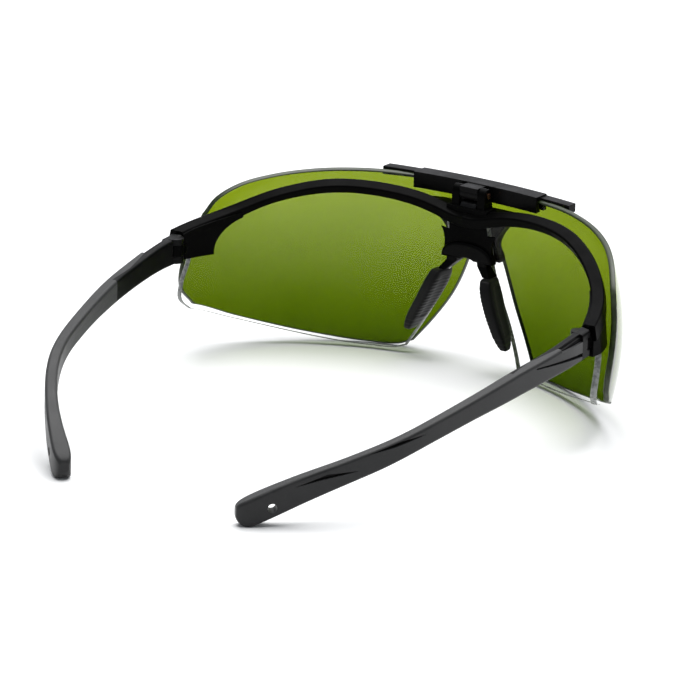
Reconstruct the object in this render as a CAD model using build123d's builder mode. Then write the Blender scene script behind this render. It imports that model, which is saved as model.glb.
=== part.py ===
"""Half-frame safety glasses with clear lenses and a green welding shade that flips up over them.

Millimetres. +X is the wearer's left, -Y is forwards, +Z is up. The glasses stand on the lower edges of the
shade lenses and on the temple tips, at z = 0, and the origin is under the middle of their box.
"""

import os
from math import asin, cos, radians, sin

from build123d import *

# Each lens is a patch of a spherical shell
CLEAR_CENTRE = (9.9, -11.2, 23.0)
CLEAR_RADIUS = 62.4
CLEAR_THICKNESS = 1.8
SHADE_CENTRE = (8.8, -15.5, 26.7)
SHADE_RADIUS = 65.3
SHADE_THICKNESS = 1.6

# Brow bar, endpieces and centre plate
BROW_DEPTH = 3.8
BROW_ROUND = 0.5
ENDPIECE_INNER = -2.3
ENDPIECE_OUTER = 1.5
ENDPIECE_BOTTOM = 28.3
ENDPIECE_SIDE_X = 70.8
ENDPIECE_FACE_Y = -25.4
PLATE_FRONT_Y = -75.6
PLATE_REAR_Y = -70.4
PLATE_TOP = 46.4
PLATE_BOTTOM = 32.8

# Temple hinge: an upright screw at each end of the brow
HINGE_X = 67.6
HINGE_Y = -23.1
HINGE_TOP = 36.2
LUG_BOTTOM = 28.7
LUG_TOP = 35.8
KNUCKLE_RADIUS = 2.4
KNUCKLE_LOW = 30.8
KNUCKLE_HIGH = 34.0
KNUCKLE_GAP = 0.15
TURNING_GAP = 0.3
TEMPLE_FACE = 1.7
SCREW_RADIUS = 0.7
SCREW_CLEARANCE = 0.05
SCREW_HEAD_RADIUS = 1.5
SCREW_HEAD_HEIGHT = 0.8
SCREW_TOP = 35.2
REST_FOLD = 11.2

# Shade hinge: a pin along X over the nose, between two ears
PIN_Y = -71.8
PIN_Z = 50.6
PIN_RADIUS = 0.8
PIN_CLEARANCE = 0.05
EAR_INNER = 3.1
EAR_WIDTH = 2.4
EAR_RADIUS = 2.0
EAR_GAP = 0.15
BASE_HALF = 6.8
BASE_FRONT_Y = -74.0
BASE_REAR_Y = -69.2
BASE_BOTTOM = 44.8
BASE_TOP = 46.8

# Bar that carries the shade lenses
BAR_FRONT_Y = -79.6
BAR_PLAN_RADIUS = 170.0
BAR_DEPTH = 5.3
BAR_MIDDLE_HALF = 20.7
BAR_BOTTOM = 48.2
BAR_TOP = 52.8
WING_HALF = 31.4
WING_DEPTH = 3.4
WING_BOTTOM = 50.0
WING_TOP = 52.4
STUD_RADIUS = 0.5
STUD_LENGTH = 2.6
STUD_Z = 50.9
STUD_FORWARD = 0.3
SPRING_HALF = 2.6
SPRING_TOP = 48.45
SPRING_THICKNESS = 0.3

# Nosepiece
SADDLE_HALF = 8.6
SADDLE_TOP = 36.4
SADDLE_BOTTOM = 31.1
SADDLE_FRONT_Y = -76.8
SADDLE_REAR_Y = -69.4
ARM_FOOT_Z = 27.6
PAD_CLEARANCE = 0.3
WIRE_RADIUS = 0.55

# Temples
SLEEVE_WALL = 0.8
TIP_HOLE_RADIUS = 1.3

# Reach of a cut that goes right through
FAR = 90.0

os.makedirs("parts", exist_ok=True)


def save(builder, label):
    builder.part.label = label
    export_step(builder.part, f"parts/{label}.step")


def save_mirrored(left, label):
    """Write a left-hand piece and its mirror image."""
    save(left, f"{label}_left")
    with BuildPart() as right:
        mirror(left.part, about=Plane.YZ)
    save(right, f"{label}_right")
    return right


def dome(centre, radius, inner, outer):
    """Spherical shell between two offsets from its middle radius."""
    with BuildPart() as shell:
        with Locations(centre):
            Sphere(radius + outer)
            Sphere(radius + inner, mode=Mode.SUBTRACT)
    return shell.part


# Outlines drawn in front view have x across and z up, and reach forwards from this plane
FRONT_VIEW = Plane.XZ.offset(18.0)
# Outlines drawn in side view have y across and z up
SIDE_VIEW = Plane.YZ


# --- Clear lenses ---------------------------------------------------------------------------------------

with BuildPart() as clear_lens_left:
    add(dome(CLEAR_CENTRE, CLEAR_RADIUS, -CLEAR_THICKNESS / 2, CLEAR_THICKNESS / 2))
    with BuildSketch(FRONT_VIEW):
        with BuildLine():
            nasal = Spline((6.4, 36.0), (6.9, 29.0), (9.6, 20.6), (13.6, 12.6), (19.2, 2.0))
            foot = Spline(
                nasal @ 1, (22.5, 0.9), (29.3, 0.6), (39.5, 1.2), (52.2, 4.0), (62.8, 8.4), (69.0, 12.6)
            )
            temporal = Spline(foot @ 1, (70.3, 15.4), (70.6, 20.0), (69.8, 27.0), (68.6, 33.5))
            brow = Spline(
                temporal @ 1, (64.2, 38.0), (59.0, 40.9), (49.2, 45.6),
                (39.6, 47.4), (28.0, 47.9), (14.0, 46.2)
            )
            inner_top = Line(brow @ 1, (6.4, 44.4))
            Line(inner_top @ 1, nasal @ 0)
        make_face()
    extrude(amount=FAR, mode=Mode.INTERSECT)

clear_lens_right = save_mirrored(clear_lens_left, "clear_lens")


# --- Shade lenses ---------------------------------------------------------------------------------------

with BuildPart() as shade_lens_left:
    add(dome(SHADE_CENTRE, SHADE_RADIUS, -SHADE_THICKNESS / 2, SHADE_THICKNESS / 2))
    with BuildSketch(FRONT_VIEW):
        with BuildLine():
            nasal = Spline((2.4, 40.0), (6.0, 28.2), (10.5, 17.2), (15.9, 8.4), (20.6, 1.8))
            foot = Spline(
                nasal @ 1, (24.6, 0.3), (32.5, 0.0), (42.0, 0.8), (54.0, 3.5), (64.2, 8.0), (70.4, 12.8)
            )
            temporal = Spline(foot @ 1, (72.2, 17.4), (72.7, 24.0), (71.6, 32.0), (69.6, 39.0))
            brow = Spline(
                temporal @ 1, (67.0, 44.0), (63.0, 47.4), (57.4, 49.4), (48.2, 51.0),
                (36.0, 51.8), (20.0, 51.9)
            )
            inner_top = Line(brow @ 1, (2.4, 51.9))
            Line(inner_top @ 1, nasal @ 0)
        make_face()
    extrude(amount=FAR, mode=Mode.INTERSECT)


# --- Front frame ----------------------------------------------------------------------------------------

# Sections along the brow, from the hinge to the nose: turn about the lens centre from straight ahead, lower
# edge, upper edge
BROW_STATIONS = [
    (77.3, 32.5, 36.8),
    (72.5, 33.5, 38.0),
    (67.0, 35.0, 39.3),
    (62.0, 37.0, 40.6),
    (56.5, 39.6, 42.4),
    (49.5, 42.6, 45.0),
    (42.0, 44.8, 47.2),
    (34.0, 46.3, 48.9),
    (25.0, 46.9, 49.5),
    (15.0, 46.4, 49.1),
    (5.0, 44.8, 47.9),
    (-3.0, 42.5, 45.9),
    (-11.0, 42.0, 45.6),
]


def brow_plane(turn_deg, height):
    """Plane across the brow, centred on the middle of the clear lens, with its x axis square to the lens."""
    turn = radians(turn_deg)
    climb = asin((height - CLEAR_CENTRE[2]) / CLEAR_RADIUS)
    outwards = Vector(cos(climb) * sin(turn), -cos(climb) * cos(turn), sin(climb))
    along = Vector(cos(turn), sin(turn), 0)
    return Plane(origin=Vector(*CLEAR_CENTRE) + outwards * CLEAR_RADIUS, x_dir=outwards, z_dir=-along)


with BuildPart() as endpiece:
    add(dome(CLEAR_CENTRE, CLEAR_RADIUS, ENDPIECE_INNER, ENDPIECE_OUTER))
    with BuildSketch(SIDE_VIEW.offset(40.0)):
        with BuildLine():
            rim = Spline((-36.9, ENDPIECE_BOTTOM), (-37.3, 32.8), (-39.4, 36.2), (-43.0, 38.9))
            Polyline(
                rim @ 1,
                (-42.6, 40.4),
                (-37.5, 39.2),
                (-29.4, 37.4),
                (ENDPIECE_FACE_Y, HINGE_TOP),
                (ENDPIECE_FACE_Y, ENDPIECE_BOTTOM),
                rim @ 0,
            )
        make_face()
    extrude(amount=ENDPIECE_SIDE_X - 40.0, mode=Mode.INTERSECT)

with BuildPart() as half_front:
    for turn_deg, low, high in BROW_STATIONS:
        with BuildSketch(brow_plane(turn_deg, (low + high) / 2)):
            RectangleRounded(BROW_DEPTH, high - low, BROW_ROUND)
    loft()
    add(endpiece.part)
    # Square off the brow's rear end at the hinge face
    with BuildSketch(Plane.XZ.offset(-ENDPIECE_FACE_Y)):
        with Locations((HINGE_X, 35.0)):
            Rectangle(20.0, 20.0)
    extrude(amount=-10.0, mode=Mode.SUBTRACT)
    # Room for the temple's two lugs to turn
    with BuildSketch(Plane.XY.offset(ENDPIECE_BOTTOM - 1.0)):
        with Locations((HINGE_X, HINGE_Y)):
            Circle(KNUCKLE_RADIUS + TURNING_GAP)
    extrude(amount=12.0, mode=Mode.SUBTRACT)
    # Knuckle in the middle of the hinge, on a web from the endpiece
    with BuildSketch(Plane.XY.offset(KNUCKLE_LOW)):
        with Locations((HINGE_X, HINGE_Y)):
            Circle(KNUCKLE_RADIUS)
        with Locations((HINGE_X + 0.3, (HINGE_Y + ENDPIECE_FACE_Y - 0.6) / 2)):
            Rectangle(4.2, HINGE_Y - ENDPIECE_FACE_Y + 0.6)
    extrude(amount=KNUCKLE_HIGH - KNUCKLE_LOW)
    with BuildSketch(Plane.XY.offset(KNUCKLE_LOW)):
        with Locations((HINGE_X, HINGE_Y)):
            Circle(SCREW_RADIUS)
    extrude(amount=KNUCKLE_HIGH - KNUCKLE_LOW, mode=Mode.SUBTRACT)
    # End the half at the middle plane, where its mirror image takes over
    with BuildSketch(SIDE_VIEW):
        with Locations(((PLATE_FRONT_Y + PLATE_REAR_Y) / 2, PLATE_TOP)):
            Rectangle(20.0, 20.0)
    extrude(amount=-10.0, mode=Mode.SUBTRACT)

with BuildPart() as bracket_seat:
    with BuildSketch(Plane.XY.offset(BASE_BOTTOM)):
        with Locations((0, (BASE_FRONT_Y + BASE_REAR_Y) / 2)):
            Rectangle(2 * BASE_HALF, BASE_REAR_Y - BASE_FRONT_Y)
    extrude(amount=BASE_TOP - BASE_BOTTOM)

with BuildPart() as front_frame:
    add(half_front.part)
    mirror(about=Plane.YZ)
    # Centre plate between the lenses, flaring into the brow
    with BuildSketch(Plane.XZ.offset(-PLATE_REAR_Y)):
        with BuildLine():
            flare = Spline((15.5, 46.0), (11.6, 42.6), (8.7, 38.8), (8.2, PLATE_BOTTOM))
            plate_foot = Line(flare @ 1, (0, PLATE_BOTTOM))
            plate_middle = Line(plate_foot @ 1, (0, PLATE_TOP))
            plate_top = Line(plate_middle @ 1, (11.0, PLATE_TOP))
            Line(plate_top @ 1, flare @ 0)
        make_face()
        mirror(about=Plane.YZ)
    extrude(amount=PLATE_REAR_Y - PLATE_FRONT_Y)
    for lens in (clear_lens_left, clear_lens_right):
        add(lens.part, mode=Mode.SUBTRACT)
    add(bracket_seat.part, mode=Mode.SUBTRACT)


save(front_frame, "front_frame")


# --- Shade hinge ----------------------------------------------------------------------------------------

with BuildPart() as flip_bracket:
    add(bracket_seat.part)
    with BuildSketch(SIDE_VIEW.offset(EAR_INNER)):
        with Locations((PIN_Y, PIN_Z)):
            Circle(EAR_RADIUS)
        with Locations((PIN_Y, (BASE_BOTTOM + PIN_Z) / 2)):
            Rectangle(2 * EAR_RADIUS, PIN_Z - BASE_BOTTOM)
        with Locations((PIN_Y, PIN_Z)):
            Circle(PIN_RADIUS, mode=Mode.SUBTRACT)
    extrude(amount=EAR_WIDTH)
    mirror(about=Plane.YZ)

save(flip_bracket, "flip_bracket")

with BuildPart() as flip_hinge_pin:
    with BuildSketch(SIDE_VIEW):
        with Locations((PIN_Y, PIN_Z)):
            Circle(PIN_RADIUS)
    extrude(amount=EAR_INNER + EAR_WIDTH + 0.3, both=True)

save(flip_hinge_pin, "flip_hinge_pin")

# Bowed leaf under the knuckle, which holds the shade down or up
with BuildPart() as flip_detent_spring:
    with BuildSketch(SIDE_VIEW):
        with BuildLine():
            bow = ThreePointArc((PIN_Y - 2.0, BASE_TOP), (PIN_Y, SPRING_TOP), (PIN_Y + 2.0, BASE_TOP))
            Line(bow @ 1, bow @ 0)
        make_face()
        with BuildLine():
            hollow = ThreePointArc(
                (PIN_Y - 1.6, BASE_TOP), (PIN_Y, SPRING_TOP - SPRING_THICKNESS), (PIN_Y + 1.6, BASE_TOP)
            )
            Line(hollow @ 1, hollow @ 0)
        make_face(mode=Mode.SUBTRACT)
    extrude(amount=SPRING_HALF, both=True)

save(flip_detent_spring, "flip_detent_spring")


# --- Shade bar and its studs ----------------------------------------------------------------------------

with BuildPart() as shade_studs:
    for x in (8.0, 17.0):
        reach_squared = SHADE_RADIUS**2 - (x - SHADE_CENTRE[0]) ** 2 - (STUD_Z - SHADE_CENTRE[2]) ** 2
        lens_y = SHADE_CENTRE[1] - reach_squared**0.5
        with BuildSketch(Plane(origin=(x, lens_y - STUD_FORWARD, STUD_Z), z_dir=(0, -1, 0))):
            Circle(STUD_RADIUS)
        extrude(amount=STUD_LENGTH / 2, both=True)
    mirror(about=Plane.YZ)

save(shade_studs, "shade_studs")

with BuildPart() as shade_lens_drilled:
    add(shade_lens_left.part)
    add(shade_studs.part, mode=Mode.SUBTRACT)

shade_lens_right = save_mirrored(shade_lens_drilled, "shade_lens")

with BuildPart() as flip_bar:
    for half, depth, low, high in (
        (BAR_MIDDLE_HALF, BAR_DEPTH, BAR_BOTTOM, BAR_TOP),
        (WING_HALF, WING_DEPTH, WING_BOTTOM, WING_TOP),
    ):
        with BuildSketch(Plane.XY.offset(low)):
            with Locations((0, BAR_FRONT_Y + BAR_PLAN_RADIUS)):
                Circle(BAR_PLAN_RADIUS)
                Circle(BAR_PLAN_RADIUS - depth, mode=Mode.SUBTRACT)
            with Locations((0, BAR_FRONT_Y)):
                Rectangle(2 * half, 30.0, mode=Mode.INTERSECT)
        extrude(amount=high - low)
    # Knuckle between the ears
    with BuildSketch(SIDE_VIEW):
        with Locations((PIN_Y, PIN_Z)):
            Circle(EAR_RADIUS)
        Polygon(
            (BAR_FRONT_Y + BAR_DEPTH - 1.0, 48.8),
            (PIN_Y, 48.8),
            (PIN_Y, 51.3),
            (PIN_Y + EAR_RADIUS, 51.3),
            (PIN_Y + EAR_RADIUS, PIN_Z + EAR_RADIUS),
            (BAR_FRONT_Y + BAR_DEPTH - 1.0, PIN_Z + EAR_RADIUS),
            align=None,
        )
    extrude(amount=EAR_INNER - EAR_GAP, both=True)
    with BuildSketch(SIDE_VIEW):
        with Locations((PIN_Y, PIN_Z)):
            Circle(PIN_RADIUS + PIN_CLEARANCE)
    extrude(amount=EAR_INNER, both=True, mode=Mode.SUBTRACT)
    add(shade_lens_drilled.part, mode=Mode.SUBTRACT)
    add(shade_lens_right.part, mode=Mode.SUBTRACT)
    add(shade_studs.part, mode=Mode.SUBTRACT)

save(flip_bar, "flip_bar")


# --- Nosepiece ------------------------------------------------------------------------------------------

# Sections down the left pad: middle x, middle y, z, width, thickness
PAD_STATIONS = [
    (7.9, -70.0, ARM_FOOT_Z, 7.0, 3.4),
    (8.9, -69.2, 24.5, 8.2, 4.0),
    (11.1, -68.2, 19.2, 8.0, 4.0),
    (13.6, -67.4, 14.2, 7.0, 3.8),
    (15.6, -66.8, 10.2, 5.4, 3.2),
    (16.3, -66.6, 8.6, 4.2, 2.6),
]
PAD_TURN = radians(-8.0)
# Sections down the left arm: middle x, middle y, z, width across, depth
ARM_SECTIONS = [
    (4.9, -72.4, 33.0, 3.6, 5.0),
    (5.2, -72.0, 30.2, 3.4, 4.6),
    (7.4, -70.7, ARM_FOOT_Z, 2.6, 4.4),
]

with BuildPart() as nose_wire_left:
    with BuildLine() as wire_run:
        FilletPolyline(
            (4.9, -72.3, 32.6),
            (5.2, -71.9, 29.6),
            (8.9, -69.6, 24.5),
            (11.1, -68.5, 19.2),
            (13.4, -67.7, 14.6),
            radius=1.5,
        )
    with BuildSketch(Plane(origin=wire_run.line @ 0, z_dir=wire_run.line % 0)):
        Circle(WIRE_RADIUS)
    sweep(path=wire_run.line)

save_mirrored(nose_wire_left, "nose_wire")

with BuildPart() as saddle:
    with BuildSketch(Plane.XZ.offset(-SADDLE_REAR_Y)):
        with BuildLine():
            crown = Spline(
                (-SADDLE_HALF, SADDLE_BOTTOM),
                (-SADDLE_HALF + 0.6, 33.6),
                (-5.0, 35.7),
                (0, SADDLE_TOP),
                (5.0, 35.7),
                (SADDLE_HALF - 0.6, 33.6),
                (SADDLE_HALF, SADDLE_BOTTOM),
            )
            Line(crown @ 1, crown @ 0)
        make_face()
        with Locations((0, 27.5)):
            Circle(4.2, mode=Mode.SUBTRACT)
    extrude(amount=SADDLE_REAR_Y - SADDLE_FRONT_Y)
    fillet(saddle.faces().sort_by(Axis.Y)[-1].edges(), radius=1.0)
    add(front_frame.part, mode=Mode.SUBTRACT)
    add(clear_lens_left.part, mode=Mode.SUBTRACT)
    add(clear_lens_right.part, mode=Mode.SUBTRACT)

with BuildPart() as nose_arm:
    for x, y, z, across, depth in ARM_SECTIONS:
        with BuildSketch(Plane(origin=(x, y, z), x_dir=(1, 0, 0), z_dir=(0, 0, 1))):
            RectangleRounded(across, depth, 0.6)
    loft(ruled=True)
    add(front_frame.part, mode=Mode.SUBTRACT)
    add(clear_lens_left.part, mode=Mode.SUBTRACT)

with BuildPart() as nose_bridge:
    add(nose_arm.part)
    add(nose_wire_left.part, mode=Mode.SUBTRACT)
    mirror(about=Plane.YZ)
    add(saddle.part)
    add(nose_wire_left.part, mode=Mode.SUBTRACT)
    add(mirror(nose_wire_left.part, about=Plane.YZ, mode=Mode.PRIVATE), mode=Mode.SUBTRACT)

save(nose_bridge, "nose_bridge")

with BuildPart() as nose_pad_left:
    for x, y, z, width, thickness in PAD_STATIONS:
        with BuildSketch(Plane(origin=(x, y, z), x_dir=(cos(PAD_TURN), sin(PAD_TURN), 0), z_dir=(0, 0, 1))):
            RectangleRounded(thickness, width, 0.4 * thickness)
    loft()
    with Locations(CLEAR_CENTRE):
        Sphere(CLEAR_RADIUS - CLEAR_THICKNESS / 2 - PAD_CLEARANCE, mode=Mode.INTERSECT)
    add(nose_wire_left.part, mode=Mode.SUBTRACT)

save_mirrored(nose_pad_left, "nose_pad")


# --- Temples --------------------------------------------------------------------------------------------

# Sections along the left temple: middle x, middle y, lower edge, upper edge, width
TEMPLE_STATIONS = [
    (68.6, -27.4, 28.8, 36.9, 3.8),
    (68.7, -18.6, 28.0, 35.5, 3.8),
    (68.6, -10.6, 27.2, 34.2, 3.8),
    (67.9, -2.6, 26.2, 32.9, 3.7),
    (66.9, 5.8, 25.0, 31.6, 3.6),
    (65.7, 13.8, 23.7, 30.0, 3.6),
    (64.2, 21.7, 22.3, 28.2, 3.5),
    (62.4, 29.8, 20.6, 26.3, 3.5),
    (60.3, 37.9, 18.6, 24.3, 3.4),
    (57.7, 45.0, 16.3, 22.2, 3.4),
    (54.5, 51.1, 13.9, 20.2, 3.4),
    (50.9, 56.5, 11.7, 18.3, 3.4),
    (47.1, 61.5, 9.5, 16.4, 3.5),
    (43.2, 66.1, 7.2, 14.6, 3.7),
    (39.4, 70.2, 4.9, 12.7, 4.1),
    (35.9, 73.6, 2.7, 10.8, 4.5),
    (32.8, 76.4, 0.9, 9.0, 4.9),
    (30.4, 78.5, 0.0, 7.5, 4.8),
    (28.9, 79.8, 0.7, 6.4, 4.0),
    (28.1, 80.6, 2.3, 5.2, 2.4),
]
TEMPLE_ROUND = 0.9
# The arm inside the sleeve ends before the swollen tip
ARM_STATIONS = 15


def station_heading(index):
    """Horizontal direction of the temple at a station, towards the tip."""
    before = TEMPLE_STATIONS[max(index - 1, 0)]
    after = TEMPLE_STATIONS[min(index + 1, len(TEMPLE_STATIONS) - 1)]
    return Vector(after[0] - before[0], after[1] - before[1], 0).normalized()


def temple_loft(count, trim_width, trim_height):
    """Smooth bar through the first stations, with its sections trimmed."""
    with BuildPart() as bar:
        for index, (x, y, low, high, width) in enumerate(TEMPLE_STATIONS[:count]):
            heading = station_heading(index)
            inwards = Vector(-heading.Y, heading.X, 0)
            with BuildSketch(Plane(origin=(x, y, (low + high) / 2), x_dir=inwards, z_dir=heading)):
                RectangleRounded(width - trim_width, high - low - trim_height, TEMPLE_ROUND - trim_width / 4)
        loft()
    return bar.part


def side_plane(index):
    """Upright plane between two stations, facing outwards, with x towards the tip."""
    x, y, low, high, _ = TEMPLE_STATIONS[index]
    next_x, next_y, next_low, next_high, _ = TEMPLE_STATIONS[index + 1]
    heading = Vector(next_x - x, next_y - y, 0).normalized()
    middle = ((x + next_x) / 2, (y + next_y) / 2, (low + high + next_low + next_high) / 4)
    return Plane(origin=middle, x_dir=heading, z_dir=(heading.Y, -heading.X, 0))


# Openings in the sleeve's outer wall where the black arm shows
with BuildPart() as sleeve_windows:
    with BuildSketch(SIDE_VIEW.offset(HINGE_X)):
        Polygon((-22.5, 33.9), (-10.2, 33.2), (-10.2, 40.0), (-22.5, 40.0), align=None)
        Polygon((-22.5, 29.5), (0.5, 30.9), (0.5, 31.3), (-22.5, 30.6), align=None)
    extrude(amount=10.0)
    with BuildSketch(side_plane(9)):
        Polygon((-9.0, 3.6), (1.0, 1.3), (9.0, 0.0), (-1.0, 2.8), align=None)
    extrude(amount=10.0)
    with BuildSketch(side_plane(12)):
        Polygon((-9.0, 2.2), (1.0, 0.5), (9.0, -1.2), (0.0, 1.9), align=None)
    extrude(amount=10.0)

# The front of the arm is bare; the sleeve starts on the outer face and reaches the inner face further back
with BuildPart() as bare_front:
    with BuildSketch(Plane.XY):
        Polygon(
            (55.0, -40.0),
            (80.0, -40.0),
            (80.0, -20.5),
            (69.2, -20.5),
            (69.1, -10.6),
            (66.6, 0.0),
            (66.6, 8.0),
            (55.0, 8.0),
            align=None,
        )
    extrude(amount=60.0)

with BuildPart() as temple_body:
    add(temple_loft(len(TEMPLE_STATIONS), 0.0, 0.0))

with BuildPart() as front_face_cut:
    # Square to the endpiece when the temple is fully open
    with BuildSketch(Plane(Location((HINGE_X, HINGE_Y, 20.0)) * Rotation(0, 0, REST_FOLD))):
        with Locations((0, -TEMPLE_FACE - 5.0)):
            Rectangle(20.0, 10.0)
    extrude(amount=25.0)

# Room for the frame's knuckle
with BuildPart() as knuckle_slot:
    with BuildSketch(Plane.XY.offset(KNUCKLE_LOW - KNUCKLE_GAP)):
        with Locations((HINGE_X, HINGE_Y)):
            Circle(KNUCKLE_RADIUS + TURNING_GAP)
        with Locations((HINGE_X, HINGE_Y - 5.0)):
            Rectangle(20.0, 10.0)
    extrude(amount=KNUCKLE_HIGH - KNUCKLE_LOW + 2 * KNUCKLE_GAP)

with BuildPart() as lugs:
    for low, high in ((LUG_BOTTOM, KNUCKLE_LOW - KNUCKLE_GAP), (KNUCKLE_HIGH + KNUCKLE_GAP, LUG_TOP)):
        with BuildSketch(Plane.XY.offset(low)):
            with Locations((HINGE_X, HINGE_Y)):
                Circle(KNUCKLE_RADIUS)
        extrude(amount=high - low)

with BuildPart() as hinge_screw_left:
    with BuildSketch(Plane.XY.offset(LUG_BOTTOM)):
        with Locations((HINGE_X, HINGE_Y)):
            Circle(SCREW_HEAD_RADIUS)
    extrude(amount=SCREW_HEAD_HEIGHT)
    with BuildSketch(Plane.XY.offset(LUG_BOTTOM)):
        with Locations((HINGE_X, HINGE_Y)):
            Circle(SCREW_RADIUS)
    extrude(amount=SCREW_TOP - LUG_BOTTOM)
    with BuildSketch(Plane.XY.offset(LUG_BOTTOM)):
        with Locations((HINGE_X, HINGE_Y)):
            Rectangle(2 * SCREW_HEAD_RADIUS, 0.4)
    extrude(amount=0.4, mode=Mode.SUBTRACT)

with BuildPart() as screw_hole:
    with BuildSketch(Plane.XY.offset(LUG_BOTTOM - 1.0)):
        with Locations((HINGE_X, HINGE_Y)):
            Circle(SCREW_HEAD_RADIUS + SCREW_CLEARANCE)
    extrude(amount=SCREW_HEAD_HEIGHT + 1.0 + SCREW_CLEARANCE)
    with BuildSketch(Plane.XY.offset(LUG_BOTTOM)):
        with Locations((HINGE_X, HINGE_Y)):
            Circle(SCREW_RADIUS + SCREW_CLEARANCE)
    extrude(amount=SCREW_TOP - LUG_BOTTOM + SCREW_CLEARANCE)

with BuildPart() as temple_left:
    add(temple_body.part)
    add(bare_front.part, mode=Mode.INTERSECT)
    add(temple_loft(ARM_STATIONS, 2 * SLEEVE_WALL, 2 * SLEEVE_WALL))
    add(front_face_cut.part, mode=Mode.SUBTRACT)
    add(knuckle_slot.part, mode=Mode.SUBTRACT)
    add(lugs.part)
    add(screw_hole.part, mode=Mode.SUBTRACT)

save_mirrored(temple_left, "temple")
save_mirrored(hinge_screw_left, "hinge_screw")

with BuildPart() as temple_sleeve_left:
    add(temple_body.part)
    add(bare_front.part, mode=Mode.SUBTRACT)
    add(temple_loft(ARM_STATIONS, 2 * SLEEVE_WALL, 2 * SLEEVE_WALL), mode=Mode.SUBTRACT)
    add(sleeve_windows.part, mode=Mode.SUBTRACT)
    # Lanyard hole through the tip
    tip_heading = station_heading(16)
    with BuildSketch(Plane(origin=(35.2, 74.2, 5.2), z_dir=(tip_heading.Y, -tip_heading.X, 0))):
        Circle(TIP_HOLE_RADIUS)
    extrude(amount=8.0, both=True, mode=Mode.SUBTRACT)

save_mirrored(temple_sleeve_left, "temple_sleeve")
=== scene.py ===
"""Looks for the flip-up welding glasses: lenses and nose pads built here, and materials on every other node.

Sizes are in millimetres until they go into a mesh. +X is the wearer's left, -Y is forwards and +Z is up.
"""

import math

import bmesh
import bpy
import numpy as np
from mathutils import Matrix, Vector


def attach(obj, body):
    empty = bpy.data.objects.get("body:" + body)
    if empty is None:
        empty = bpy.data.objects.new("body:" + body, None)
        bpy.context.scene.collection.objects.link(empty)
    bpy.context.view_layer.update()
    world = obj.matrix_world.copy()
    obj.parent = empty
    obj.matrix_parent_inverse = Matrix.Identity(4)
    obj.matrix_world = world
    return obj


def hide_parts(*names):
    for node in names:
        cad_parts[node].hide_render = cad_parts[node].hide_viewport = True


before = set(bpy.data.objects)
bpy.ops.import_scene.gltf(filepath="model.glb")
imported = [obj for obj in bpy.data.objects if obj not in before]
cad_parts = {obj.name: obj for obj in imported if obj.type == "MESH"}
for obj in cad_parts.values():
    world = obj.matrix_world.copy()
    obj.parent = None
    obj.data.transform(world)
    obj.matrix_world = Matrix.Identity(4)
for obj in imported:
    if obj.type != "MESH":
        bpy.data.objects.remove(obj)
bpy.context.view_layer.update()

MM = 0.001

# Sizes shared with the CAD model, in millimetres
CLEAR_CENTRE = (9.9, -11.2, 23.0)
CLEAR_RADIUS = 62.4
CLEAR_THICKNESS = 1.8
SHADE_CENTRE = (8.8, -15.5, 26.7)
SHADE_RADIUS = 65.3
SHADE_THICKNESS = 1.6


# --- Small helpers --------------------------------------------------------------------------------------


def spline_points(points, per_span):
    """Smooth open curve through points, as an array."""
    pts = np.array(points, float)
    ends = np.vstack([2 * pts[0] - pts[1], pts, 2 * pts[-1] - pts[-2]])
    out = []
    for i in range(1, len(ends) - 2):
        p0, p1, p2, p3 = ends[i - 1 : i + 3]
        d1 = np.linalg.norm(p2 - p1)
        d0 = max(np.linalg.norm(p1 - p0), 1e-9)
        d2 = max(np.linalg.norm(p3 - p2), 1e-9)
        m1 = 0.5 * ((p2 - p1) / d1 + (p1 - p0) / d0) * d1
        m2 = 0.5 * ((p3 - p2) / d2 + (p2 - p1) / d1) * d1
        for k in range(per_span):
            t = k / per_span
            h = (2 * t**3 - 3 * t**2 + 1, t**3 - 2 * t**2 + t, -2 * t**3 + 3 * t**2, t**3 - t**2)
            out.append(h[0] * p1 + h[1] * m1 + h[2] * p2 + h[3] * m2)
    out.append(pts[-1])
    return np.array(out)


def resampled(points, step):
    """The same open run of points, evenly spaced."""
    seg = np.linalg.norm(np.diff(points, axis=0), axis=1)
    s = np.concatenate([[0], np.cumsum(seg)])
    n = max(int(round(s[-1] / step)), 2)
    at = np.linspace(0, s[-1], n + 1)
    return np.stack([np.interp(at, s, points[:, k]) for k in range(points.shape[1])], 1)


def make_mesh(name, verts, faces):
    """New object from vertices in millimetres."""
    mesh = bpy.data.meshes.new(name)
    mesh.from_pydata([tuple(np.array(v, float) * MM) for v in verts], [], faces)
    mesh.validate()
    bm = bmesh.new()
    bm.from_mesh(mesh)
    bmesh.ops.recalc_face_normals(bm, faces=bm.faces)
    bm.to_mesh(mesh)
    bm.free()
    obj = bpy.data.objects.new(name, mesh)
    bpy.context.scene.collection.objects.link(obj)
    mesh.polygons.foreach_set("use_smooth", [True] * len(mesh.polygons))
    return obj


def smooth_by_angle(obj, degrees):
    """Smooth shading with sharp edges where faces meet at more than this angle."""
    mesh = obj.data
    mesh.polygons.foreach_set("use_smooth", [True] * len(mesh.polygons))
    mesh.set_sharp_from_angle(angle=math.radians(degrees))


# --- Materials ------------------------------------------------------------------------------------------


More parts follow.
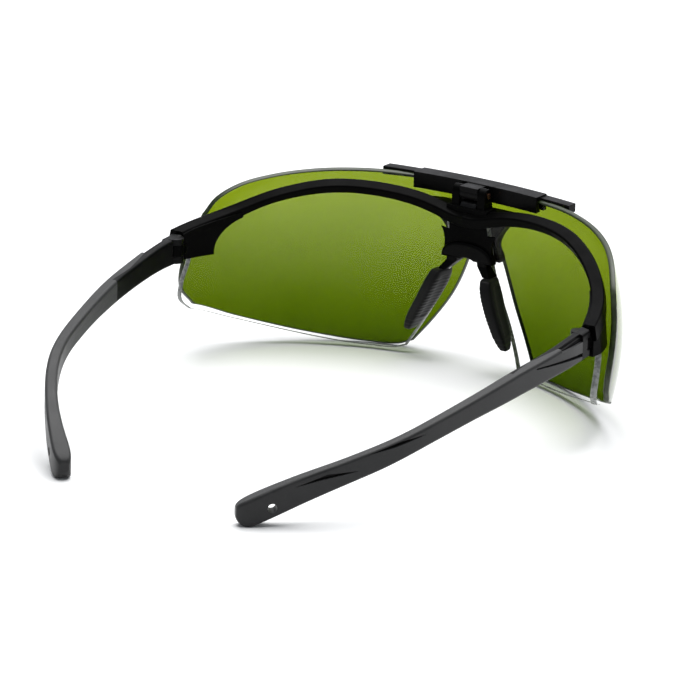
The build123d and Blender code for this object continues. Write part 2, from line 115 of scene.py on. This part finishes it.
class Nodes:
    """Short hand for building a material's node tree."""

    def __init__(self, name):
        self.material = bpy.data.materials.new(name)
        self.material.use_nodes = True
        self.tree = self.material.node_tree
        self.tree.nodes.clear()
        self.out = self.tree.nodes.new("ShaderNodeOutputMaterial")

    def add(self, kind, **values):
        node = self.tree.nodes.new("ShaderNode" + kind)
        for key, value in values.items():
            if hasattr(node, key):
                setattr(node, key, value)
            else:
                node.inputs[key.replace("_", " ")].default_value = value
        return node

    def link(self, a, b):
        self.tree.links.new(a, b)

    def coords(self):
        return self.add("TexCoord").outputs["Object"]

    def noise(self, vector, scale, detail=3.0, roughness=0.5, distortion=0.0):
        node = self.add("TexNoise")
        node.inputs["Scale"].default_value = scale
        node.inputs["Detail"].default_value = detail
        node.inputs["Roughness"].default_value = roughness
        node.inputs["Distortion"].default_value = distortion
        self.link(vector, node.inputs["Vector"])
        return node.outputs["Fac"]

    def span(self, value, low, high, to_low, to_high):
        node = self.add("MapRange")
        for key, number in zip(("From Min", "From Max", "To Min", "To Max"), (low, high, to_low, to_high)):
            node.inputs[key].default_value = number
        self.link(value, node.inputs["Value"])
        return node.outputs["Result"]

    def mix_colour(self, factor, a, b, blend="MIX"):
        node = self.add("MixRGB", blend_type=blend)
        for key, value in (("Fac", factor), ("Color1", a), ("Color2", b)):
            if isinstance(value, (int, float)):
                node.inputs[key].default_value = value
            elif isinstance(value, tuple):
                node.inputs[key].default_value = (*value, 1.0)
            else:
                self.link(value, node.inputs[key])
        return node.outputs["Color"]

    def maths(self, operation, a, b=None):
        node = self.add("Math", operation=operation)
        for index, value in enumerate((a, b)):
            if value is None:
                continue
            if isinstance(value, (int, float)):
                node.inputs[index].default_value = value
            else:
                self.link(value, node.inputs[index])
        return node.outputs[0]

    def bump(self, height, strength, distance, normal=None):
        node = self.add("Bump")
        node.inputs["Strength"].default_value = strength
        node.inputs["Distance"].default_value = distance
        self.link(height, node.inputs["Height"])
        if normal is not None:
            self.link(normal, node.inputs["Normal"])
        return node.outputs["Normal"]


def moulded_plastic(name, dark, light, rough_low, rough_high, specular, grain=0.00002, bevel=0.0):
    """Injection-moulded nylon: fine spark-erosion grain, uneven sheen and paler, rubbed edges."""
    n = Nodes(name)
    at = n.coords()
    shader = n.add("BsdfPrincipled")
    shader.inputs["Specular IOR Level"].default_value = specular
    broad = n.noise(at, 90.0, 4.0, 0.6)
    fine = n.noise(at, 5200.0, 2.0, 0.6)
    colour = n.mix_colour(n.span(broad, 0.35, 0.7, 0.0, 1.0), dark, light)
    geometry = n.add("NewGeometry")
    edge_normal = n.add("Bevel", samples=6)
    edge_normal.inputs["Radius"].default_value = 0.0006
    dot = n.add("VectorMath", operation="DOT_PRODUCT")
    n.link(geometry.outputs["Normal"], dot.inputs[0])
    n.link(edge_normal.outputs["Normal"], dot.inputs[1])
    worn = n.span(dot.outputs["Value"], 0.99, 0.86, 0.0, 0.55)
    worn = n.maths("MULTIPLY", worn, n.span(n.noise(at, 700.0, 5.0, 0.7), 0.42, 0.68, 0.1, 1.0))
    colour = n.mix_colour(worn, colour, tuple(min(c * 3.2 + 0.004, 1.0) for c in light))
    n.link(colour, shader.inputs["Base Color"])
    n.link(n.span(n.noise(at, 240.0, 4.0, 0.6), 0.3, 0.7, rough_low, rough_high), shader.inputs["Roughness"])
    rounded = None
    if bevel:
        soft = n.add("Bevel", samples=6)
        soft.inputs["Radius"].default_value = bevel
        rounded = soft.outputs["Normal"]
    n.link(n.bump(fine, 0.35, grain, rounded), shader.inputs["Normal"])
    n.link(shader.outputs[0], n.out.inputs["Surface"])
    return n.material


def soft_rubber(name, dark, light, roughness, specular, grain_scale=2600.0, depth=0.00004):
    """Matt thermoplastic rubber with a dusty bloom and fine grain."""
    n = Nodes(name)
    at = n.coords()
    shader = n.add("BsdfPrincipled")
    shader.inputs["Specular IOR Level"].default_value = specular
    shader.inputs["Sheen Weight"].default_value = 0.12
    shader.inputs["Sheen Roughness"].default_value = 0.5
    patches = n.noise(at, 140.0, 5.0, 0.65)
    specks = n.noise(at, 3300.0, 2.0, 0.5)
    colour = n.mix_colour(n.span(patches, 0.3, 0.72, 0.0, 1.0), dark, light)
    colour = n.mix_colour(n.span(specks, 0.55, 0.8, 0.0, 0.25), colour, tuple(c * 1.5 for c in light))
    n.link(colour, shader.inputs["Base Color"])
    n.link(n.span(patches, 0.3, 0.7, roughness - 0.06, roughness + 0.08), shader.inputs["Roughness"])
    n.link(n.bump(n.noise(at, grain_scale, 3.0, 0.6), 0.5, depth), shader.inputs["Normal"])
    n.link(shader.outputs[0], n.out.inputs["Surface"])
    return n.material


def lens_material(name, painted_shade_low_tint, high_tint, low_z, high_z, gloss_most, haze, rough, outside=False):
    """Thin tinted polycarbonate face, see-through under a faint film of dust.

    The tint is for one of a shell's two faces. It deepens downwards as painted shade, for the lens's own
    shadow on the floor seen through it, and it deepens at a slant. The gloss grows at grazing angles up to
    gloss_most, and fades downwards. An outside face has its full gloss from in front.
    """
    n = Nodes(name)
    at = n.coords()
    split = n.add("SeparateXYZ")
    n.link(at, split.inputs[0])
    # Painted shade: the tint darkens towards the bottom of the lens, for the lens's own shadow on the floor
    # seen through it
    height = n.span(split.outputs["Z"], low_z, high_z, 0.0, 1.0)
    cloud = n.span(n.noise(at, 30.0, 2.0, 0.4), 0.3, 0.7, -0.05, 0.05)
    tint = n.mix_colour(n.maths("ADD", height, cloud), painted_shade_low_tint, high_tint)
    slant = n.add("LayerWeight")
    slant.inputs["Blend"].default_value = 0.35
    longer = n.mix_colour(1.0, tint, tuple(0.55 + 0.45 * c for c in high_tint), "MULTIPLY")
    tint = n.mix_colour(slant.outputs["Facing"], tint, longer)
    through = n.add("BsdfTransparent")
    n.link(tint, through.inputs["Color"])
    gloss = n.add("BsdfGlossy")
    gloss.inputs["Color"].default_value = (1.0, 1.0, 1.0, 1.0)
    smear = n.noise(at, 60.0, 6.0, 0.7, 1.5)
    n.link(n.span(smear, 0.45, 0.75, rough, rough + 0.04), gloss.inputs["Roughness"])
    edge = n.add("Fresnel")
    edge.inputs["IOR"].default_value = 1.58
    fade_from = (low_z + high_z) / 2 - 0.012
    most = n.span(split.outputs["Z"], fade_from, high_z, 0.12 * gloss_most, gloss_most)
    share = n.maths("MINIMUM", edge.outputs[0], most)
    if outside:
        side = n.add("NewGeometry")
        share = n.mix_colour(side.outputs["Backfacing"], edge.outputs[0], share)
    shiny = n.add("MixShader")
    n.link(share, shiny.inputs["Fac"])
    n.link(through.outputs[0], shiny.inputs[1])
    n.link(gloss.outputs[0], shiny.inputs[2])
    dust = n.add("BsdfDiffuse")
    dust.inputs["Color"].default_value = (0.9, 0.92, 0.88, 1.0)
    film = n.add("MixShader")
    n.link(n.span(smear, 0.4, 0.8, 0.25 * haze, haze), film.inputs["Fac"])
    n.link(shiny.outputs[0], film.inputs[1])
    n.link(dust.outputs[0], film.inputs[2])
    n.link(film.outputs[0], n.out.inputs["Surface"])
    return n.material


def rim_material(name, dark, light, rough):
    """Machined edge of a lens: darker than its faces, with faint tool marks."""
    n = Nodes(name)
    at = n.coords()
    shader = n.add("BsdfPrincipled")
    marks = n.noise(at, 900.0, 3.0, 0.6)
    n.link(n.mix_colour(n.span(marks, 0.3, 0.7, 0.0, 1.0), dark, light), shader.inputs["Base Color"])
    n.link(n.span(marks, 0.3, 0.7, rough, rough + 0.15), shader.inputs["Roughness"])
    n.link(n.bump(marks, 0.3, 0.00002), shader.inputs["Normal"])
    n.link(shader.outputs[0], n.out.inputs["Surface"])
    return n.material


def plated_metal(name, dark, light, rough):
    """Turned and plated metal with faint streaks."""
    n = Nodes(name)
    at = n.coords()
    shader = n.add("BsdfPrincipled")
    shader.inputs["Metallic"].default_value = 1.0
    streaks = n.noise(at, 2200.0, 4.0, 0.7)
    n.link(n.mix_colour(n.span(streaks, 0.3, 0.7, 0.0, 1.0), dark, light), shader.inputs["Base Color"])
    n.link(n.span(streaks, 0.3, 0.7, rough, rough + 0.18), shader.inputs["Roughness"])
    n.link(n.bump(streaks, 0.25, 0.00001), shader.inputs["Normal"])
    n.link(shader.outputs[0], n.out.inputs["Surface"])
    return n.material


JET = (0.0008, 0.0008, 0.0008)
JET_PALE = (0.002, 0.002, 0.002)
BLACK = (0.001, 0.001, 0.001)
BLACK_PALE = (0.003, 0.003, 0.003)
BAR_PALE = (0.003, 0.0028, 0.003)
# Light that passes one face, at the bottom and at the top of a lens; the darker bottom tint is painted shade,
# for the lens's own shadow on the floor seen through it
GREEN_PAINTED_SHADE_LOW = (0.2, 0.27, 0.004)
GREEN_HIGH = (0.42, 0.49, 0.09)
CLEAR_PAINTED_SHADE_LOW = (0.97, 0.975, 0.972)
CLEAR_HIGH = (0.98, 0.985, 0.982)

FRAME_BLACK = moulded_plastic("frame_nylon", JET, JET_PALE, 0.34, 0.46, 0.02, bevel=0.00035)
BAR_BLACK = moulded_plastic("bar_nylon", BLACK, BAR_PALE, 0.38, 0.52, 0.07, bevel=0.0003)
ARM_BLACK = moulded_plastic("arm_nylon", BLACK, BLACK_PALE, 0.3, 0.42, 0.08, bevel=0.0003)
NOSE_BLACK = moulded_plastic("nose_nylon", JET, JET_PALE, 0.34, 0.46, 0.05, bevel=0.0004)
SLEEVE_RUBBER = soft_rubber("sleeve_rubber", (0.011, 0.011, 0.0113), (0.022, 0.022, 0.0226), 0.46, 0.25)
PAD_RUBBER = soft_rubber(
    "pad_rubber", (0.001, 0.001, 0.0011), (0.003, 0.003, 0.0032), 0.45, 0.12, grain_scale=3400.0, depth=3e-5
)
GREEN_IN = lens_material("green_shade_inside", GREEN_PAINTED_SHADE_LOW, GREEN_HIGH, 0.004, 0.044, 0.028, 0.004, 0.36)
GREEN_OUT = lens_material(
    "green_shade_outside", GREEN_PAINTED_SHADE_LOW, GREEN_HIGH, 0.004, 0.044, 0.001, 0.004, 0.03, outside=True
)
GREEN_RIM = rim_material("green_shade_edge", (0.006, 0.011, 0.001), (0.02, 0.035, 0.004), 0.3)
CLEAR_IN = lens_material("clear_inside", CLEAR_PAINTED_SHADE_LOW, CLEAR_HIGH, 0.0, 0.05, 0.02, 0.002, 0.36)
CLEAR_OUT = lens_material("clear_outside", CLEAR_PAINTED_SHADE_LOW, CLEAR_HIGH, 0.0, 0.05, 0.001, 0.002, 0.02, outside=True)
CLEAR_RIM = rim_material("clear_edge", (0.12, 0.125, 0.12), (0.3, 0.31, 0.3), 0.2)
COPPER = plated_metal("copper_pin", (0.5, 0.24, 0.13), (0.72, 0.4, 0.24), 0.22)
STEEL = plated_metal("bright_steel", (0.35, 0.35, 0.36), (0.6, 0.6, 0.62), 0.2)
BLACK_STEEL = plated_metal("black_steel", (0.012, 0.012, 0.013), (0.03, 0.03, 0.031), 0.35)


# --- Lenses ---------------------------------------------------------------------------------------------

CLEAR_OUTLINE = [
    [(6.4, 36.0), (6.9, 29.0), (9.6, 20.6), (13.6, 12.6), (19.2, 2.0)],
    [(19.2, 2.0), (22.5, 0.9), (29.3, 0.6), (39.5, 1.2), (52.2, 4.0), (62.8, 8.4), (69.0, 12.6)],
    [(69.0, 12.6), (70.3, 15.4), (70.6, 20.0), (69.8, 27.0), (68.6, 33.5)],
    [(68.6, 33.5), (64.2, 38.0), (59.0, 40.9), (49.2, 45.6), (39.6, 47.4), (28.0, 47.9), (14.0, 46.2)],
    [(14.0, 46.2), (6.4, 44.4)],
    [(6.4, 44.4), (6.4, 36.0)],
]
SHADE_OUTLINE = [
    [(2.4, 40.0), (6.0, 28.2), (10.5, 17.2), (15.9, 8.4), (20.6, 1.8)],
    [(20.6, 1.8), (24.6, 0.3), (32.5, 0.0), (42.0, 0.8), (54.0, 3.5), (64.2, 8.0), (70.4, 12.8)],
    [(70.4, 12.8), (72.2, 17.4), (72.7, 24.0), (71.6, 32.0), (69.6, 39.0)],
    [(69.6, 39.0), (67.0, 44.0), (63.0, 47.4), (57.4, 49.4), (48.2, 51.0), (36.0, 51.8), (20.0, 51.9)],
    [(20.0, 51.9), (2.4, 51.9)],
    [(2.4, 51.9), (2.4, 40.0)],
]


def lens(name, node, side, centre, radius, thickness, outline, hub, body, looks):
    """Spherical shell inside an outline drawn in front view, with a softly rounded rim."""
    loop = np.vstack([resampled(spline_points(run, 12), 1.1)[:-1] for run in outline])
    cx, cy, cz = centre

    half = thickness / 2
    base = radius + half

    def to_arc(points):
        rho = np.sqrt(base * base - (points[:, 1] - cz) ** 2)
        return np.stack([np.arcsin(np.clip((points[:, 0] - cx) / rho, -1, 1)) * base, points[:, 1]], 1)

    flat = to_arc(loop)
    middle = to_arc(np.array([hub]))[0]
    away = flat - middle
    reach = np.linalg.norm(away, axis=1)

    def ring(inset, share, offset):
        p = middle + away * ((reach - inset) / reach * share)[:, None]
        scale = (radius + offset) / base
        rho = np.sqrt(base * base - (p[:, 1] - cz) ** 2) * scale
        turn = p[:, 0] / base
        x = side * (cx + rho * np.sin(turn))
        y = cy - rho * np.cos(turn)
        return np.stack([x, y, cz + (p[:, 1] - cz) * scale], 1)

    shares = [1.0, 0.985, 0.96, 0.92, 0.86, 0.78, 0.69, 0.59, 0.49, 0.39, 0.29, 0.19, 0.1]
    rings = [ring(0.3, s, half) for s in reversed(shares)]
    rings += [ring(0.1, 1.0, half * 0.86), ring(0.02, 1.0, half * 0.4), ring(0.02, 1.0, -half * 0.4)]
    rings += [ring(0.1, 1.0, -half * 0.86)]
    rings += [ring(0.3, s, -half) for s in shares]
    count = len(loop)
    verts = np.vstack(rings)
    faces, kinds = [], []
    first_rim = len(shares)
    for k in range(len(rings) - 1):
        for i in range(count):
            j = (i + 1) % count
            faces.append((k * count + i, k * count + j, (k + 1) * count + j, (k + 1) * count + i))
            kinds.append(1 if first_rim - 1 <= k <= first_rim + 3 else 0 if k < first_rim else 2)
    poles = [ring(0.0, 0.0, half)[0], ring(0.0, 0.0, -half)[0]]
    verts = np.vstack([verts, poles])
    last = (len(rings) - 1) * count
    for i in range(count):
        j = (i + 1) % count
        faces.append((i, j, len(verts) - 2))
        faces.append((last + i, last + j, len(verts) - 1))
        kinds += [0, 2]
    obj = make_mesh(name, verts, faces)
    for look in looks:
        obj.data.materials.append(look)
    obj.data.polygons.foreach_set("material_index", kinds)
    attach(obj, body)
    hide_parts(node)
    return obj


for side, word in ((1, "left"), (-1, "right")):
    lens(f"clear_lens_{word}_look", f"clear_lens_{word}", side, CLEAR_CENTRE, CLEAR_RADIUS, CLEAR_THICKNESS,
         CLEAR_OUTLINE, (38.0, 25.0), "front", (CLEAR_OUT, CLEAR_RIM, CLEAR_IN))
    lens(f"shade_lens_{word}_look", f"shade_lens_{word}", side, SHADE_CENTRE, SHADE_RADIUS, SHADE_THICKNESS,
         SHADE_OUTLINE, (36.0, 27.0), "shade", (GREEN_OUT, GREEN_RIM, GREEN_IN))


# --- Nose pads ------------------------------------------------------------------------------------------

# Sections down the left pad: middle x, middle y, z, width, thickness
PAD_STATIONS = [
    (7.9, -70.0, 27.6, 7.0, 3.4),
    (8.9, -69.2, 24.5, 8.2, 4.0),
    (11.1, -68.2, 19.2, 8.0, 4.0),
    (13.6, -67.4, 14.2, 7.0, 3.8),
    (15.6, -66.8, 10.2, 5.4, 3.2),
    (16.3, -66.6, 8.6, 4.2, 2.6),
]
PAD_TURN = math.radians(-8.0)


def nose_pad(name, node, side):
    """Soft pad with a channel down its face, cross grooves and a stepped foot, cut back to clear the lens."""
    rows = resampled(spline_points(PAD_STATIONS, 24), 0.22)
    length = len(rows) - 1
    around = 56
    verts, faces = [], []
    clear_reach = CLEAR_RADIUS - CLEAR_THICKNESS / 2 - 0.32
    across = np.array([math.cos(PAD_TURN), math.sin(PAD_TURN), 0.0])
    along = np.array([-math.sin(PAD_TURN), math.cos(PAD_TURN), 0.0])
    for k, (x, y, z, width, thick) in enumerate(rows):
        s = k / length
        end = min(k, length - k) * 0.22
        pinch = 1.0 if end > 0.9 else math.sqrt(max(1 - ((0.9 - end) / 0.9) ** 2, 0.0)) * 0.3 + 0.7
        step = 0.0
        for at in (0.8, 0.875, 0.94):
            step += 0.16 / (1 + math.exp(-(s - at) * 260))
        for i in range(around):
            a = 2 * math.pi * i / around
            c, d = math.cos(a), math.sin(a)
            u = math.copysign(abs(c) ** 0.38, c) * (thick / 2 * pinch - step * 0.6)
            v = math.copysign(abs(d) ** 0.42, d) * (width / 2 * pinch - step)
            lane = abs(v) / max(width / 2, 1e-6)
            if abs(c) > 0.2:
                channel = 0.34 * math.exp(-((lane / 0.2) ** 4)) if 0.1 < s < 0.76 else 0.0
                rib = 0.0
                if c < 0 and 0.12 < s < 0.74 and lane > 0.34:
                    rib = 0.13 * (0.5 + 0.5 * math.cos(2 * math.pi * s * length * 0.22 / 1.15)) ** 3
                u -= math.copysign(channel + rib, u)
            p = np.array([x, y, z]) + across * u + along * v
            away = p - np.array(CLEAR_CENTRE)
            far = np.linalg.norm(away)
            if far > clear_reach:
                p = np.array(CLEAR_CENTRE) + away * (clear_reach / far)
            verts.append((side * p[0], p[1], p[2]))
    for k in range(length):
        for i in range(around):
            j = (i + 1) % around
            faces.append((k * around + i, k * around + j, (k + 1) * around + j, (k + 1) * around + i))
    faces.append(tuple(range(around)))
    faces.append(tuple(range(length * around, (length + 1) * around)))
    obj = make_mesh(name, verts, faces)
    obj.data.materials.append(PAD_RUBBER)
    smooth_by_angle(obj, 50)
    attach(obj, "front")
    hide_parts(node)


for side, word in ((1, "left"), (-1, "right")):
    nose_pad(f"nose_pad_{word}_soft", f"nose_pad_{word}", side)


# --- CAD nodes that show as they are --------------------------------------------------------------------

CAD_LOOKS = {
    "front_frame": FRAME_BLACK,
    "flip_bracket": FRAME_BLACK,
    "flip_bar": BAR_BLACK,
    "nose_bridge": NOSE_BLACK,
    "temple_left": ARM_BLACK,
    "temple_right": ARM_BLACK,
    "temple_sleeve_left": SLEEVE_RUBBER,
    "temple_sleeve_right": SLEEVE_RUBBER,
    "flip_hinge_pin": COPPER,
    "flip_detent_spring": BLACK_STEEL,
    "hinge_screw_left": STEEL,
    "hinge_screw_right": STEEL,
    "nose_wire_left": STEEL,
    "nose_wire_right": STEEL,
    "shade_studs": BAR_BLACK,
}
for node_name, look in CAD_LOOKS.items():
    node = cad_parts[node_name]
    node.data.materials.clear()
    node.data.materials.append(look)
    smooth_by_angle(node, 32)


# --- Studio ---------------------------------------------------------------------------------------------

floor_mesh = bpy.data.meshes.new("floor")
floor_mesh.from_pydata([(-6, -6, 0), (6, -6, 0), (6, 6, 0), (-6, 6, 0)], [], [(0, 1, 2, 3)])
floor = bpy.data.objects.new("floor", floor_mesh)
bpy.context.scene.collection.objects.link(floor)
paper = Nodes("floor_paper")
paper_shader = paper.add("BsdfPrincipled")
paper_shader.inputs["Specular IOR Level"].default_value = 0.1
paper_at = paper.coords()
paper_tone = paper.mix_colour(paper.noise(paper_at, 8.0, 3.0), (0.9, 0.9, 0.9), (0.92, 0.92, 0.92))
paper.link(paper_tone, paper_shader.inputs["Base Color"])
paper_shader.inputs["Roughness"].default_value = 0.85
paper.link(paper_shader.outputs[0], paper.out.inputs["Surface"])
floor.data.materials.append(paper.material)


def area_light(name, place, aim, width, depth, power, colour=(1, 1, 1)):
    data = bpy.data.lights.new(name, "AREA")
    data.shape = "RECTANGLE"
    data.size = width
    data.size_y = depth
    data.energy = power
    data.color = colour
    obj = bpy.data.objects.new(name, data)
    obj.location = place
    obj.rotation_mode = "QUATERNION"
    obj.rotation_quaternion = (Vector(aim) - Vector(place)).to_track_quat("-Z", "Y")
    bpy.context.scene.collection.objects.link(obj)


area_light("overhead", (0.1, -0.35, 1.3), (0, 0, 0), 1.5, 1.5, 34.0)
area_light("back_bank", (0.9, -1.5, 0.6), (0, 0, 0.03), 1.9, 0.8, 6.0, (0.96, 0.95, 1.0))

world = bpy.data.worlds.new("studio")
bpy.context.scene.world = world
world.use_nodes = True
sky = world.node_tree
sky.nodes.clear()
sky_out = sky.nodes.new("ShaderNodeOutputWorld")
seen = sky.nodes.new("ShaderNodeBackground")
seen.inputs["Color"].default_value = (0.93, 0.94, 0.95, 1)
lighting = sky.nodes.new("ShaderNodeBackground")
lighting.inputs["Color"].default_value = (0.9, 0.95, 1.0, 1)
lighting.inputs["Strength"].default_value = 0.3
path = sky.nodes.new("ShaderNodeLightPath")
either = sky.nodes.new("ShaderNodeMixShader")
sky.links.new(path.outputs["Is Camera Ray"], either.inputs["Fac"])
sky.links.new(lighting.outputs[0], either.inputs[1])
sky.links.new(seen.outputs[0], either.inputs[2])
sky.links.new(either.outputs[0], sky_out.inputs["Surface"])

bpy.context.scene.view_settings.view_transform = "Standard"


# --- Camera ---------------------------------------------------------------------------------------------

AZIMUTH = math.radians(34.09)
ELEVATION = math.radians(17.98)
ROLL = math.radians(1.56)
DISTANCE = 1.6999
TARGET = Vector((-0.0022, -0.0093, 0.0203))
back = Vector(
    (-math.sin(AZIMUTH) * math.cos(ELEVATION), math.cos(AZIMUTH) * math.cos(ELEVATION), math.sin(ELEVATION))
)
level = Vector((-math.cos(AZIMUTH), -math.sin(AZIMUTH), 0))
rise = Vector(
    (math.sin(AZIMUTH) * math.sin(ELEVATION), -math.cos(AZIMUTH) * math.sin(ELEVATION), math.cos(ELEVATION))
)
right = math.cos(ROLL) * level + math.sin(ROLL) * rise
up = -math.sin(ROLL) * level + math.cos(ROLL) * rise
camera_data = bpy.data.cameras.new("camera")
camera_data.sensor_width = 36.0
camera_data.lens = 317.76
camera_data.clip_start = 0.05
camera_data.clip_end = 30.0
camera = bpy.data.objects.new("camera", camera_data)
bpy.context.scene.collection.objects.link(camera)
turn = Matrix((right, up, back)).transposed()
camera.rotation_mode = "QUATERNION"
camera.rotation_quaternion = turn.to_quaternion()
camera.location = TARGET + DISTANCE * back
bpy.context.scene.camera = camera

bpy.context.view_layer.update()
